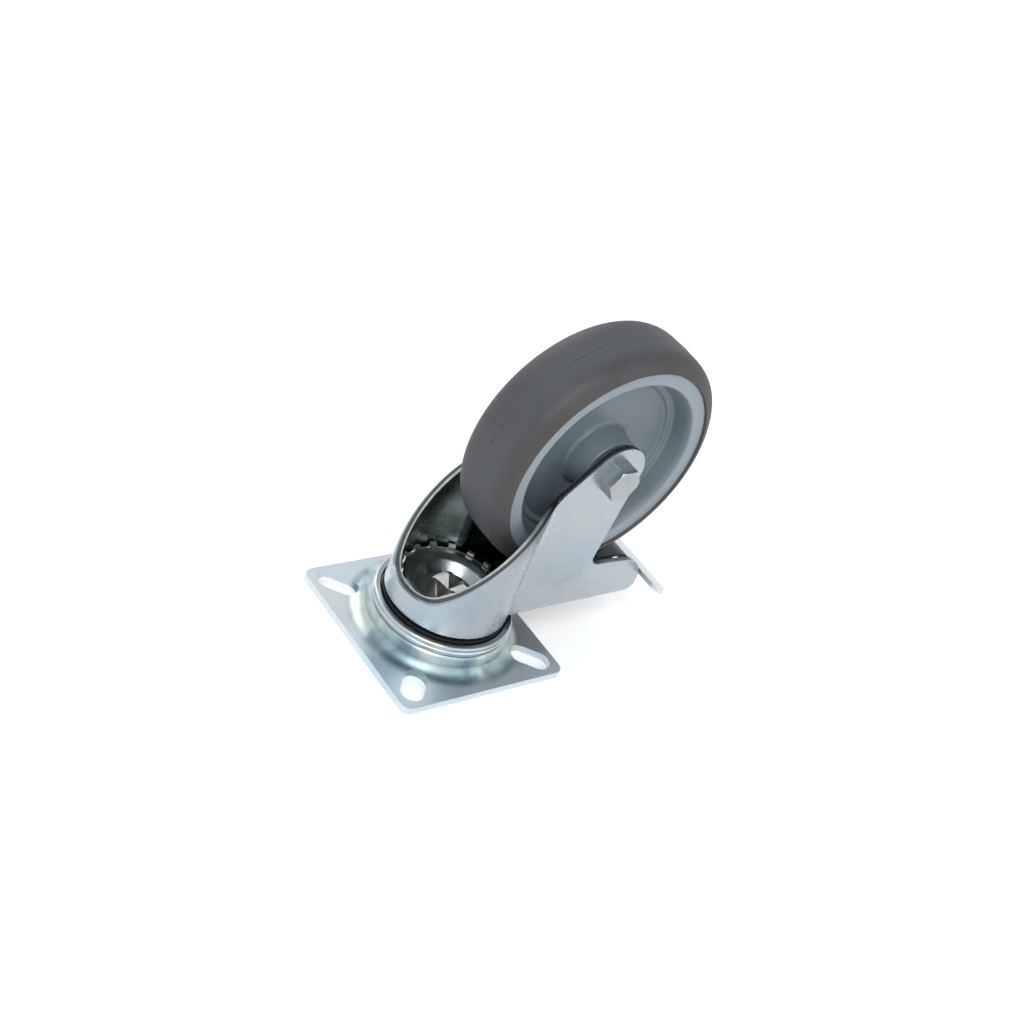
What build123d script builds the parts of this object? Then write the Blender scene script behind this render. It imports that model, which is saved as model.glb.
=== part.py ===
"""Swivel castor with an 80 mm wheel, standing on its top plate with the wheel up.

Millimetres, +Z up.  The origin is on the swivel axis at the face that is bolted on, so the plate
lies on z = 0.  The fork trails along +X and the axle runs along Y, with the bolt head on -Y.
"""
import os
from math import asin, atan2, cos, hypot, pi, radians, sin, sqrt, tan

from build123d import *

# ---- clearances ----
running_fit = 0.06        # radial, wheel bore on the axle tube and lever on its pin
slip_fit = 0.10           # radial, pieces of one body that slide together
moving_gap = 0.50         # between pieces of two moving bodies
ball_gap = 0.06           # between a ball and the groove that holds it
pad_gap = 0.25            # left between the brake pad and the tyre at full travel

# ---- top plate ----
plate_side = 60.0
plate_t = 2.4
plate_corner_r = 3.0
slot_edge = 6.0           # centre of a slot's outer end to the two plate edges
slot_w = 7.4
dome_h = 6.1              # dome above the plate's upper face
dome_overhang = 0.6       # the dome's top beyond the lower race
skirt_lean = 0.5          # the dome's skirt leans out by this much before its foot
skirt_foot_r = 2.8        # blend at the foot

# ---- swivel bearing ----
race_overhang = 2.3       # the lower race's lip beyond the fork's round front
race_lip_t = 2.0
race_lip_h = 3.3          # lip above the dome
race_floor_t = 1.6
race_step = 0.2           # burnished lower band of the lip stands out by this much
race_edge = 0.3           # broken edges of the lip
low_ball_d = 4.5
low_ball_inset = 1.45     # from the lip's inner face to the lower balls
low_ball_n = 18
up_ball_d = 3.5
up_ball_inset = 6.3       # the upper balls' pitch circle inside the round front
up_ball_n = 20
up_ball_sink = 0.55       # depth of the upper balls' groove in the crown
cage_drop = 0.35          # cage's underside below the ball centres
crown_gap = 1.4           # between the lip of the lower race and the fork's crown
dish_t = 1.6              # upper race's thickness at its middle
dish_rim_w = 1.5          # upper race's rim outside the balls' pitch circle
dish_rim_h = 0.8          # and above the balls
tab_n = 16
tab_w = 2.2
tab_t = 1.3
tab_ring_t = 0.7
tab_foot_w = 1.5          # crimped foot of the tab ring
tab_h = 4.6

# ---- kingpin ----
pin_neck_r = 6.0
pin_shoulder_r = 8.0
pin_stake_neck_r = 4.5
pin_head_r = 8.8
pin_head_t = 2.6
pin_star_r = 6.2
pin_star_h = 3.3
star_draft = 1.2          # the staked head is narrower by this much at its top
star_cut_w = 2.7          # half the width of the punch's two crossing notches
star_cut_d = 2.8          # and their depth
star_turn = 22.0          # degrees, the notches against the fork

# ---- fork ----
sheet_t = 2.0
cup_r = 19.4              # outside of the round front at the crown
cup_draft = 1.2           # degrees, the round front leans in as it rises
blend_low = 0.4           # outer blend between round front and side wall, at the foot
blend_high = 16.0         # the same level with the arm's end
crown_edge_r = 0.8
crown_hole_inset = 2.1    # the crown's hole inside the upper balls' pitch circle
fork_inner_w = 24.4       # between the inner faces of the side walls
trail = 31.4              # swivel axis to axle
wheel_gap = 9.3           # between the tyre and the floor under it
arm_end_r = 10.2
arm_lean = 4.5            # degrees, the rear edge of each arm
arm_front_bow = 4.0       # degrees, the front edge is steeper by this much towards the cup
lip_h = 7.3               # front lip of the cup above the crown's underside
lip_in = 2.7              # the lip's level part, from the very front of the cup
lip_blend_r = 8.0
tail_len = 45.1           # from the round front to the rear end of the side walls
tail_root_h = 15.0        # height of the side walls at the foot of the arms
tail_slope = 5.0          # degrees, fall of that edge to the rear
tail_end_r = 9.5
tail_corner_r = 3.0
notch_r = 3.8
tail_bottom_rise = 1.8    # underside of the side walls above the crown's underside
web_len = 14.6            # floor between the side walls, behind the round front

# ---- wheel ----
wheel_d = 80.0
tyre_w = 23.0
rim_w = 21.2
tyre_side_h = 5.4         # rubber between the rim's side ring and the tread
rim_ring_w = 4.4          # side ring's width
rim_seat_depth = 0.9      # the tyre's seat below the rim's edge
rim_lip_w = 1.3
well_taper = 2.4          # the well's wall narrows by this much to its foot
web_w = 5.6
web_step_w = 8.2
web_step = 2.4            # the step's place inside the well's foot
hub_w = 22.0
hub_end_r = 9.8
hub_foot_r = 10.8
tube_r = 4.0

# ---- axle bolt ----
bolt_d = 6.0
bolt_af = 10.0
bolt_head_t = 4.4
nut_t = 4.2
nut_collar_t = 1.8
insert_t = 0.9
bolt_tip = 1.6            # beyond the nut

# ---- brake ----
lever_t = 1.6
pedal_half_w = 22.5
pedal_reach = 6.8         # pedal's depth, along its slope
pedal_slope = 25.0        # degrees below horizontal at rest
pedal_end_r = 2.9
neck_half = 7.5           # half the width of the lever between the side walls
pivot_r = 2.0
pivot_h = 4.0             # above the floor between the side walls
pivot_back = 11.6         # behind the axle
crank_h = 4.4             # top of the lever above the pivot
cheek_r = 4.0
brake_travel = 11.0       # degrees, from released to braking
pad_back = 22.4           # brake pad's edge behind the axle when it brakes
shoe_t = 1.2
shoe_half = 6.0
rivet_r = 1.5
rivet_back = 5.0          # rivet behind the pivot
rivet_head_w = 1.1
rivet_head_t = 0.8
spring_t = 0.6
spring_len = 12.0         # flat part, on the floor

# ---- derived levels ----
plate_top = plate_t
dome_top = plate_top + dome_h
race_floor = dome_top + race_floor_t
lip_top = dome_top + race_lip_h
crown_z = lip_top + crown_gap
crown_top = crown_z + sheet_t
low_ball_r = low_ball_d / 2
up_ball_r = up_ball_d / 2
race_r = cup_r + race_overhang
race_inner_r = race_r - race_lip_t
low_ball_pitch_r = race_inner_r - low_ball_inset - low_ball_r
up_ball_pitch_r = cup_r - up_ball_inset
crown_hole_r = up_ball_pitch_r - crown_hole_inset
dome_top_r = race_r + dome_overhang
dome_foot_r = dome_top_r + skirt_lean + skirt_foot_r
low_ball_z = (race_floor + crown_z) / 2 + 0.10
up_ball_z = crown_top + up_ball_r - up_ball_sink
fork_half = fork_inner_w / 2
wall_y = fork_half + sheet_t
tail_bottom = crown_z + tail_bottom_rise
web_top = tail_bottom + sheet_t
wheel_r = wheel_d / 2
axle_h = web_top + wheel_gap + wheel_r
bolt_r = bolt_d / 2
shank_hole_r = bolt_r + slip_fit + 0.05
fork_top = axle_h + arm_end_r + 4
pin_foot_z = dome_top - plate_t
stake_z = crown_top - 0.2
dish_bottom = stake_z - dish_t
tail_x = cup_r + tail_len
web_end_x = cup_r + web_len
tail_top = tail_bottom + tail_root_h
pivot_x = trail + pivot_back
pivot_z = web_top + pivot_h

os.makedirs("parts", exist_ok=True)


def save(part, label):
    part.label = label
    export_step(part, f"parts/{label}.step")


def ball_ring(count, pitch_r, z, r):
    """Separate balls round the swivel axis."""
    spots = [Rot(0, 0, 360 * i / count) * Pos(pitch_r, 0, z) for i in range(count)]
    return Compound(children=[spot * Sphere(r) for spot in spots])


# ---------------------------------------------------------------- top plate
slot_inner_r = dome_foot_r - 1.0 + slot_w / 2
slot_outer_r = (plate_side / 2 - slot_edge) * sqrt(2)
slot_travel = slot_outer_r - slot_inner_r
slot_c = (slot_outer_r + slot_inner_r) / 2 / sqrt(2)
slot_spots = [(slot_c, slot_c, 45), (-slot_c, slot_c, 135), (-slot_c, -slot_c, 225), (slot_c, -slot_c, 315)]
with BuildPart() as top_plate:
    with BuildSketch(Plane.XY):
        RectangleRounded(plate_side, plate_side, plate_corner_r)
    extrude(amount=plate_t)
    skirt_r = dome_top_r + skirt_lean
    with BuildSketch(Plane.XZ):
        with BuildLine():
            Polyline((dome_top_r, dome_top - 0.5), (dome_top_r - 0.5, dome_top), (0, dome_top), (0, plate_top / 2))
            Line((0, plate_top / 2), (dome_foot_r, plate_top / 2))
            Line((dome_foot_r, plate_top / 2), (dome_foot_r, plate_top))
            # soft blend of the pressed skirt into the plate
            ThreePointArc(
                (dome_foot_r, plate_top),
                (dome_foot_r - skirt_foot_r * sqrt(0.5), plate_top + skirt_foot_r * (1 - sqrt(0.5))),
                (skirt_r, plate_top + skirt_foot_r),
            )
            Line((skirt_r, plate_top + skirt_foot_r), (dome_top_r, dome_top - 0.5))
        make_face()
    revolve(axis=Axis.Z)
    hollow_r = dome_top_r - plate_t + 0.3
    with BuildSketch(Plane.XZ):
        with BuildLine():
            Polyline((0, 0), (hollow_r + 1.9, 0), (hollow_r + 0.5, 2.0), (hollow_r, pin_foot_z - 1.2))
            Polyline((hollow_r, pin_foot_z - 1.2), (hollow_r - 1.2, pin_foot_z), (0, pin_foot_z), (0, 0))
        make_face()
    revolve(axis=Axis.Z, mode=Mode.SUBTRACT)
    for slot_x, slot_y, slot_turn in slot_spots:
        with BuildSketch(Plane.XY):
            with Locations(Pos(slot_x, slot_y) * Rot(0, 0, slot_turn)):
                SlotCenterToCenter(slot_travel, slot_w)
        extrude(amount=dome_top, mode=Mode.SUBTRACT)
    with Locations((0, 0, pin_foot_z)):
        Cylinder(
            pin_neck_r + slip_fit,
            plate_t + 1,
            align=(Align.CENTER, Align.CENTER, Align.MIN),
            mode=Mode.SUBTRACT,
        )
save(top_plate.part, "top_plate")

# ---------------------------------------------------------------- lower race, a pressed ring on the dome
with BuildPart() as lower_race:
    band_z = race_floor - 0.1
    with BuildSketch(Plane.XZ):
        with BuildLine():
            Polyline(
                (pin_shoulder_r + 2.0, dome_top),
                (race_r + race_step - 0.4, dome_top),
                (race_r + race_step, dome_top + 0.4),
                (race_r + race_step, band_z),
                (race_r, band_z + 0.15),
                (race_r, lip_top - race_edge),
                (race_r - race_edge, lip_top),
                (race_inner_r + race_edge, lip_top),
                (race_inner_r, lip_top - race_edge),
                (race_inner_r, race_floor),
                (pin_shoulder_r + 2.0, race_floor),
                close=True,
            )
        make_face()
        with Locations((low_ball_pitch_r, low_ball_z)):
            Circle(low_ball_r + ball_gap, mode=Mode.SUBTRACT)
    revolve(axis=Axis.Z)
save(lower_race.part, "lower_race")

lower_balls = ball_ring(low_ball_n, low_ball_pitch_r, low_ball_z, low_ball_r)
save(lower_balls, "lower_balls")

# ---------------------------------------------------------------- cage of the lower balls, moulded
with BuildPart() as ball_cage:
    cage_z = low_ball_z - cage_drop
    with BuildSketch(Plane.XY.offset(cage_z)):
        Circle(race_inner_r - 0.35)
        Circle(low_ball_pitch_r - low_ball_r - 0.6, mode=Mode.SUBTRACT)
        with PolarLocations(low_ball_pitch_r, low_ball_n):
            Circle(low_ball_r + 0.12, mode=Mode.SUBTRACT)
    extrude(amount=crown_z - 0.55 - cage_z)
save(ball_cage.part, "ball_cage")

# ---------------------------------------------------------------- kingpin
with BuildPart() as kingpin:
    with BuildSketch(Plane.XZ):
        with BuildLine():
            Polyline(
                (0, pin_foot_z - pin_head_t),
                (pin_head_r - 1.6, pin_foot_z - pin_head_t),
                (pin_head_r, pin_foot_z - pin_head_t + 1.2),
                (pin_head_r, pin_foot_z),
                (pin_neck_r, pin_foot_z),
                (pin_neck_r, dome_top),
                (pin_shoulder_r, dome_top),
                (pin_shoulder_r, dish_bottom),
                (pin_stake_neck_r, dish_bottom),
                (pin_stake_neck_r, stake_z),
                (pin_star_r, stake_z),
                (pin_star_r, stake_z + pin_star_h * 0.25),
                (pin_star_r - star_draft, stake_z + pin_star_h),
                (0, stake_z + pin_star_h),
                close=True,
            )
        make_face()
    revolve(axis=Axis.Z)
    # the staking punch leaves two crossing notches and four points between them
    star_top = stake_z + pin_star_h
    for notch_turn in (star_turn, star_turn + 90):
        with BuildSketch(Plane.XZ.rotated((0, 0, notch_turn))):
            Polygon(
                (-star_cut_w, star_top + 0.01),
                (star_cut_w, star_top + 0.01),
                (0, star_top - star_cut_d),
                align=None,
            )
        extrude(amount=pin_star_r + 1, both=True, mode=Mode.SUBTRACT)
save(kingpin.part, "kingpin")

# ---------------------------------------------------------------- upper race, a dished washer
with BuildPart() as upper_race:
    rim_out_r = up_ball_pitch_r + dish_rim_w
    dish_lift = up_ball_z + up_ball_r - 0.15
    dish_edge = dish_lift + dish_rim_h
    bowl_r = up_ball_pitch_r - up_ball_r - 0.55
    dish_foot_r = crown_hole_r - 2.4
    dish_floor_r = dish_foot_r - 0.3
    with BuildSketch(Plane.XZ) as dish:
        with BuildLine():
            Polyline(
                (pin_stake_neck_r + slip_fit, dish_bottom),
                (dish_foot_r, dish_bottom),
                (bowl_r + 0.5, up_ball_z + 0.7),
                (bowl_r + 1.2, dish_lift),
                (rim_out_r, dish_lift),
                (rim_out_r, dish_edge),
                (bowl_r + 2.1, dish_edge),
                (bowl_r, dish_lift - 0.1),
                (dish_floor_r, stake_z + 0.15),
                (dish_floor_r - 0.7, stake_z),
                (pin_stake_neck_r + slip_fit, stake_z),
                close=True,
            )
        make_face()
        with Locations((up_ball_pitch_r, up_ball_z)):
            Circle(up_ball_r + ball_gap, mode=Mode.SUBTRACT)
        fillet(dish.vertices().sort_by_distance((bowl_r, dish_lift - 0.1, 0))[0], radius=1.6)
        fillet(dish.vertices().sort_by_distance((bowl_r + 2.1, dish_edge, 0))[0], radius=0.8)
        fillet(dish.vertices().sort_by_distance((rim_out_r, dish_edge, 0))[0], radius=0.3)
    revolve(axis=Axis.Z)
save(upper_race.part, "upper_race")

upper_balls = ball_ring(up_ball_n, up_ball_pitch_r, up_ball_z, up_ball_r)
save(upper_balls, "upper_balls")

# ---------------------------------------------------------------- fork, one pressing
lean = radians(arm_lean)
mouth_z = crown_z + lip_h
mouth_x = lip_in - cup_r
mouth_reach = hypot(trail - mouth_x, axle_h - mouth_z)
slope = atan2(axle_h - mouth_z, trail - mouth_x) + asin(arm_end_r / mouth_reach) - radians(arm_front_bow)
front_x = trail - arm_end_r * sin(slope)
front_z = axle_h + arm_end_r * cos(slope)
chord_slope = atan2(front_z - mouth_z, front_x - mouth_x)
bow = hypot(front_x - mouth_x, front_z - mouth_z) / 2 * tan((chord_slope - slope) / 2)
back_x = trail + arm_end_r * cos(lean)
back_z = axle_h - arm_end_r * sin(lean)
root_x = back_x - (back_z - tail_top) * tan(lean)
tail_end_z = tail_top - (tail_x - root_x) * tan(radians(tail_slope))


def fork_outline(z, inset):
    """Plan of the fork at one height: round front, blends and straight side walls, moved in by inset."""
    r = cup_r - (z - crown_z) * tan(radians(cup_draft)) - inset
    blend = blend_low + (blend_high - blend_low) * (z - tail_bottom) / (fork_top - tail_bottom) + inset
    y = wall_y - inset
    end = tail_x + inset
    blend_x = sqrt((r + blend) ** 2 - (y + blend) ** 2)
    turn = atan2(y + blend, blend_x)
    mid = (turn + 2.5 * pi) / 2
    touch = (r * cos(turn), r * sin(turn))
    between = (blend_x + blend * cos(mid), y + blend + blend * sin(mid))
    with BuildSketch(Plane.XY.offset(z)) as outline:
        with BuildLine():
            ThreePointArc((touch[0], -touch[1]), (-r, 0), touch)
            ThreePointArc(touch, between, (blend_x, y))
            Polyline((blend_x, y), (end, y), (end, -y), (blend_x, -y))
            ThreePointArc((blend_x, -y), (between[0], -between[1]), (touch[0], -touch[1]))
        make_face()
    return outline.sketch.face()


with BuildPart() as fork:
    # pressed-down crown, then the round front running into the side walls
    with Locations((0, 0, crown_z)):
        Cone(
            cup_r,
            cup_r - (tail_bottom - crown_z) * tan(radians(cup_draft)),
            tail_bottom - crown_z,
            align=(Align.CENTER, Align.CENTER, Align.MIN),
        )
    crown_rim = fork.edges().filter_by(GeomType.CIRCLE).sort_by(Axis.Z)[0]
    fillet(crown_rim, radius=crown_edge_r)
    loft([fork_outline(tail_bottom, 0), fork_outline(fork_top, 0)], ruled=True)
    # inside
    with Locations((0, 0, crown_top)):
        Cylinder(
            cup_r - sheet_t - 0.05,
            sheet_t + 2,
            align=(Align.CENTER, Align.CENTER, Align.MIN),
            mode=Mode.SUBTRACT,
        )
    loft([fork_outline(web_top, sheet_t), fork_outline(fork_top, sheet_t)], ruled=True, mode=Mode.SUBTRACT)
    # the floor stops short of the tail
    with BuildSketch(Plane.XY.offset(tail_bottom - 1)):
        with Locations((web_end_x, 0)):
            Rectangle(tail_x, fork_inner_w, align=(Align.MIN, Align.CENTER))
    extrude(amount=sheet_t + 2, mode=Mode.SUBTRACT)
    # side outline
    with BuildSketch(Plane.XZ) as side_view:
        with BuildLine():
            Line((-cup_r - 3, crown_z - 1), (-cup_r - 3, mouth_z))
            Line((-cup_r - 3, mouth_z), (mouth_x, mouth_z))
            ThreePointArc(
                (mouth_x, mouth_z),
                (
                    (mouth_x + front_x) / 2 - bow * sin(chord_slope),
                    (mouth_z + front_z) / 2 + bow * cos(chord_slope),
                ),
                (front_x, front_z),
            )
            top_a = (slope + pi / 2 - lean) / 2
            ThreePointArc(
                (front_x, front_z),
                (trail + arm_end_r * cos(top_a), axle_h + arm_end_r * sin(top_a)),
                (back_x, back_z),
            )
            Line((back_x, back_z), (root_x, tail_top))
            Line((root_x, tail_top), (tail_x, tail_end_z))
            Line((tail_x, tail_end_z), (tail_x, tail_bottom))
            Line((tail_x, tail_bottom), (cup_r, tail_bottom))
            Line((cup_r, tail_bottom), (cup_r, crown_z - 1))
            Line((cup_r, crown_z - 1), (-cup_r - 3, crown_z - 1))
        make_face()
        fillet(side_view.vertices().sort_by_distance((mouth_x, mouth_z, 0))[0], radius=lip_blend_r)
        fillet(side_view.vertices().sort_by_distance((root_x, tail_top, 0))[0], radius=notch_r)
        fillet(side_view.vertices().sort_by_distance((tail_x, tail_end_z, 0))[0], radius=tail_end_r)
        fillet(side_view.vertices().sort_by_distance((tail_x, tail_bottom, 0))[0], radius=tail_corner_r)
    extrude(amount=cup_r + 5, both=True, mode=Mode.INTERSECT)
    # crown hole, ball grooves
    with BuildSketch(Plane.XZ):
        with Locations((0, crown_z - 1)):
            Rectangle(crown_hole_r, sheet_t + 2, align=(Align.MIN, Align.MIN))
        with Locations((low_ball_pitch_r, low_ball_z)):
            Circle(low_ball_r + ball_gap)
        with Locations((up_ball_pitch_r, up_ball_z)):
            Circle(up_ball_r + ball_gap)
    revolve(axis=Axis.Z, mode=Mode.SUBTRACT)
    # axle hole
    with BuildSketch(Plane.XZ):
        with Locations((trail, axle_h)):
            Circle(shank_hole_r)
    extrude(amount=wall_y + 1, both=True, mode=Mode.SUBTRACT)
save(fork.part, "fork")

# ---------------------------------------------------------------- crimped tab ring round the upper balls
tab_in_r = up_ball_pitch_r + up_ball_r + 0.35
with BuildPart() as tab_ring:
    with BuildSketch(Plane.XY.offset(crown_top)):
        Circle(tab_in_r + tab_foot_w)
        Circle(tab_in_r, mode=Mode.SUBTRACT)
    extrude(amount=tab_h * 0.12)
    with BuildSketch(Plane.XY.offset(crown_top)):
        Circle(tab_in_r + tab_ring_t)
        Circle(tab_in_r, mode=Mode.SUBTRACT)
    extrude(amount=tab_h * 0.7)
    with BuildSketch(Plane.XY.offset(crown_top + tab_h * 0.4)):
        with PolarLocations(tab_in_r + tab_t / 2, tab_n, start_angle=360 / tab_n / 2):
            Rectangle(tab_t, tab_w)
        Circle(tab_in_r, mode=Mode.SUBTRACT)
    extrude(amount=tab_h * 0.6)
save(tab_ring.part, "tab_ring")

# ---------------------------------------------------------------- wheel
axle_line = Axis((trail, 0, axle_h), (0, 1, 0))
axle_plane = Plane.YZ.offset(trail)
rim_face_outer_r = wheel_r - tyre_side_h
rim_face_inner_r = rim_face_outer_r - rim_ring_w
well_r = rim_face_inner_r - well_taper
web_step_r = well_r - web_step
with BuildPart() as wheel_rim:
    seat_r = rim_face_outer_r - rim_seat_depth
    half = [
        (0, tube_r + running_fit),
        (hub_w / 2, tube_r + running_fit),
        (hub_w / 2, hub_end_r - 0.5),
        (hub_w / 2 - 0.5, hub_end_r),
        (web_w / 2, hub_foot_r),
        (web_w / 2, web_step_r),
        (web_step_w / 2, web_step_r + 0.8),
        (web_step_w / 2, well_r),
        (rim_w / 2, rim_face_inner_r),
        (rim_w / 2, rim_face_outer_r),
        (rim_w / 2 - rim_lip_w, rim_face_outer_r),
        (rim_w / 2 - rim_lip_w, seat_r),
        (0, seat_r),
    ]
    with BuildSketch(axle_plane) as rim_section:
        with BuildLine():
            Polyline(*[(y, axle_h + r) for y, r in half], close=True)
        make_face()
        foot = rim_section.vertices().sort_by_distance((web_w / 2, axle_h + hub_foot_r, 0))[0]
        fillet(foot, radius=1.2)
        well = rim_section.vertices().sort_by_distance((web_step_w / 2, axle_h + well_r, 0))[0]
        fillet(well, radius=0.8)
        mirror(about=Plane.YZ)
    revolve(axis=axle_line)
save(wheel_rim.part, "wheel_rim")

with BuildPart() as tyre:
    shoulder_y = tyre_w / 2 * 0.56
    bead_r = rim_face_outer_r + tyre_side_h / 6
    with BuildSketch(axle_plane):
        with BuildLine():
            Polyline(
                (tyre_w / 2, axle_h + bead_r),
                (rim_w / 2, axle_h + rim_face_outer_r),
                (rim_w / 2 - rim_lip_w, axle_h + rim_face_outer_r),
                (rim_w / 2 - rim_lip_w, axle_h + seat_r),
                (-rim_w / 2 + rim_lip_w, axle_h + seat_r),
                (-rim_w / 2 + rim_lip_w, axle_h + rim_face_outer_r),
                (-rim_w / 2, axle_h + rim_face_outer_r),
                (-tyre_w / 2, axle_h + bead_r),
            )
            ThreePointArc(
                (-tyre_w / 2, axle_h + bead_r),
                (-tyre_w / 2 * 0.875, axle_h + wheel_r - (wheel_r - bead_r) * 0.37),
                (-shoulder_y, axle_h + wheel_r - 0.15),
            )
            ThreePointArc(
                (-shoulder_y, axle_h + wheel_r - 0.15),
                (0, axle_h + wheel_r),
                (shoulder_y, axle_h + wheel_r - 0.15),
            )
            ThreePointArc(
                (shoulder_y, axle_h + wheel_r - 0.15),
                (tyre_w / 2 * 0.875, axle_h + wheel_r - (wheel_r - bead_r) * 0.37),
                (tyre_w / 2, axle_h + bead_r),
            )
        make_face()
    revolve(axis=axle_line)
save(tyre.part, "tyre")

# ---------------------------------------------------------------- axle tube, bolt, nut
with BuildPart() as axle_tube:
    with BuildSketch(Plane.XZ):
        with Locations((trail, axle_h)):
            Circle(tube_r)
            Circle(shank_hole_r, mode=Mode.SUBTRACT)
    extrude(amount=fork_half, both=True)
save(axle_tube.part, "axle_tube")

with BuildPart() as axle_bolt:
    with BuildSketch(Plane.XZ.offset(wall_y)):
        with Locations((trail, axle_h)):
            RegularPolygon(bolt_af / 2, 6, major_radius=False)
    extrude(amount=bolt_head_t)
    # rounded-off corners of the head's outer face
    with BuildSketch(Plane.YZ.offset(trail)):
        with BuildLine():
            Polyline(
                (-wall_y, axle_h),
                (-wall_y, axle_h + bolt_af * 0.6),
                (-wall_y - bolt_head_t * 0.88, axle_h + bolt_af * 0.6),
                (-wall_y - bolt_head_t, axle_h + bolt_af * 0.52),
                (-wall_y - bolt_head_t, axle_h),
                close=True,
            )
        make_face()
    revolve(axis=axle_line, mode=Mode.INTERSECT)
    with BuildSketch(Plane.XZ.offset(wall_y)):
        with Locations((trail, axle_h)):
            Circle(bolt_r)
    extrude(amount=-(2 * wall_y + nut_t + nut_collar_t + bolt_tip))
    chamfer(axle_bolt.edges().sort_by(Axis.Y)[-1], length=bolt_tip * 0.35)
save(axle_bolt.part, "axle_bolt")

with BuildPart() as axle_nut:
    with BuildSketch(Plane.XZ.offset(-wall_y)):
        with Locations((trail, axle_h)):
            RegularPolygon(bolt_af / 2, 6, major_radius=False)
    extrude(amount=-nut_t)
    with BuildSketch(Plane.YZ.offset(trail)):
        with BuildLine():
            Polyline(
                (wall_y, axle_h),
                (wall_y, axle_h + bolt_af * 0.6),
                (wall_y + nut_t * 0.86, axle_h + bolt_af * 0.6),
                (wall_y + nut_t, axle_h + bolt_af * 0.49),
                (wall_y + nut_t, axle_h),
                close=True,
            )
        make_face()
    revolve(axis=axle_line, mode=Mode.INTERSECT)
    with BuildSketch(Plane.XZ.offset(-wall_y - nut_t)):
        with Locations((trail, axle_h)):
            Circle(bolt_af / 2 - 0.3)
    extrude(amount=-nut_collar_t)
    with BuildSketch(Plane.XZ.offset(-wall_y)):
        with Locations((trail, axle_h)):
            Circle(bolt_r + slip_fit / 2)
    extrude(amount=-nut_t - nut_collar_t, mode=Mode.SUBTRACT)
    with BuildSketch(Plane.XZ.offset(-wall_y - nut_t)):
        with Locations((trail, axle_h)):
            Circle(bolt_r + insert_t)
    extrude(amount=-nut_collar_t + 0.3, mode=Mode.SUBTRACT)
save(axle_nut.part, "axle_nut")

with BuildPart() as nut_insert:
    with BuildSketch(Plane.XZ.offset(-wall_y - nut_t)):
        with Locations((trail, axle_h)):
            Circle(bolt_r + insert_t)
            Circle(bolt_r + slip_fit / 2, mode=Mode.SUBTRACT)
    extrude(amount=-nut_collar_t + 0.3)
save(nut_insert.part, "nut_insert")

# ---------------------------------------------------------------- brake: pin, lever, shoe, rivet, spring
with BuildPart() as pivot_pin:
    with BuildSketch(Plane.XZ):
        with Locations((pivot_x, pivot_z)):
            Circle(pivot_r)
    extrude(amount=fork_half, both=True)
save(pivot_pin.part, "pivot_pin")

fall = radians(pedal_slope)
body_top = pivot_z + crank_h
lever_front = pivot_x - crank_h
pedal_x = tail_x + moving_gap
bend_x = pedal_x - (crank_h - lever_t) / tan(fall)
pedal_z = body_top - (pedal_x - bend_x) * tan(fall)
body_back = bend_x - lever_t
pedal_out_x = pedal_x + pedal_reach * cos(fall)
pedal_out_z = pedal_z - pedal_reach * sin(fall)
rivet_x = pivot_x + rivet_back
rivet_hole_r = rivet_r + slip_fit
with BuildPart() as brake_lever:
    # bent strip in side view
    with BuildSketch(Plane.XZ):
        Polygon(
            (lever_front, body_top),
            (bend_x, body_top),
            (pedal_out_x, pedal_out_z),
            (pedal_out_x - lever_t * sin(fall), pedal_out_z - lever_t * cos(fall)),
            (bend_x - lever_t * tan(fall / 2), body_top - lever_t),
            (lever_front, body_top - lever_t),
            align=None,
        )
    extrude(amount=pedal_half_w, both=True)
    # its outline from above: a plain neck and the two pedal ends
    with BuildSketch(Plane.XY) as lever_plan:
        with BuildLine():
            Polyline(
                (lever_front, -neck_half),
                (pedal_x, -neck_half),
                (pedal_x, -pedal_half_w),
                (pedal_out_x, -pedal_half_w),
                (pedal_out_x, pedal_half_w),
                (pedal_x, pedal_half_w),
                (pedal_x, neck_half),
                (lever_front, neck_half),
                close=True,
            )
        make_face()
        ends = [v for v in lever_plan.vertices() if abs(abs(v.Y) - pedal_half_w) < 0.01]
        fillet(ends, radius=pedal_end_r)
        roots = [v for v in lever_plan.vertices() if hypot(v.X - pedal_x, abs(v.Y) - neck_half) < 0.01]
        fillet(roots, radius=pedal_end_r / 3)
    extrude(amount=body_top + 1, mode=Mode.INTERSECT)
    # cheeks either side, turned down to the pivot
    for side_y in (-neck_half, neck_half - lever_t):
        with BuildSketch(Plane.XZ.offset(-side_y)):
            with Locations((pivot_x, pivot_z)):
                Circle(cheek_r)
            Polygon(
                (pivot_x - cheek_r, pivot_z),
                (pivot_x - cheek_r, body_top - lever_t / 2),
                (body_back, body_top - lever_t / 2),
                (body_back, body_top - lever_t * 1.6),
                (pivot_x + cheek_r * sqrt(0.5), pivot_z - cheek_r * sqrt(0.5)),
                align=None,
            )
        extrude(amount=-lever_t)
    with BuildSketch(Plane.XZ):
        with Locations((pivot_x, pivot_z)):
            Circle(pivot_r + running_fit)
    extrude(amount=neck_half + 1, both=True, mode=Mode.SUBTRACT)
    with Locations((rivet_x, 0, body_top - lever_t / 2)):
        Cylinder(rivet_hole_r, lever_t * 2, mode=Mode.SUBTRACT)
save(brake_lever.part, "brake_lever")

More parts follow.
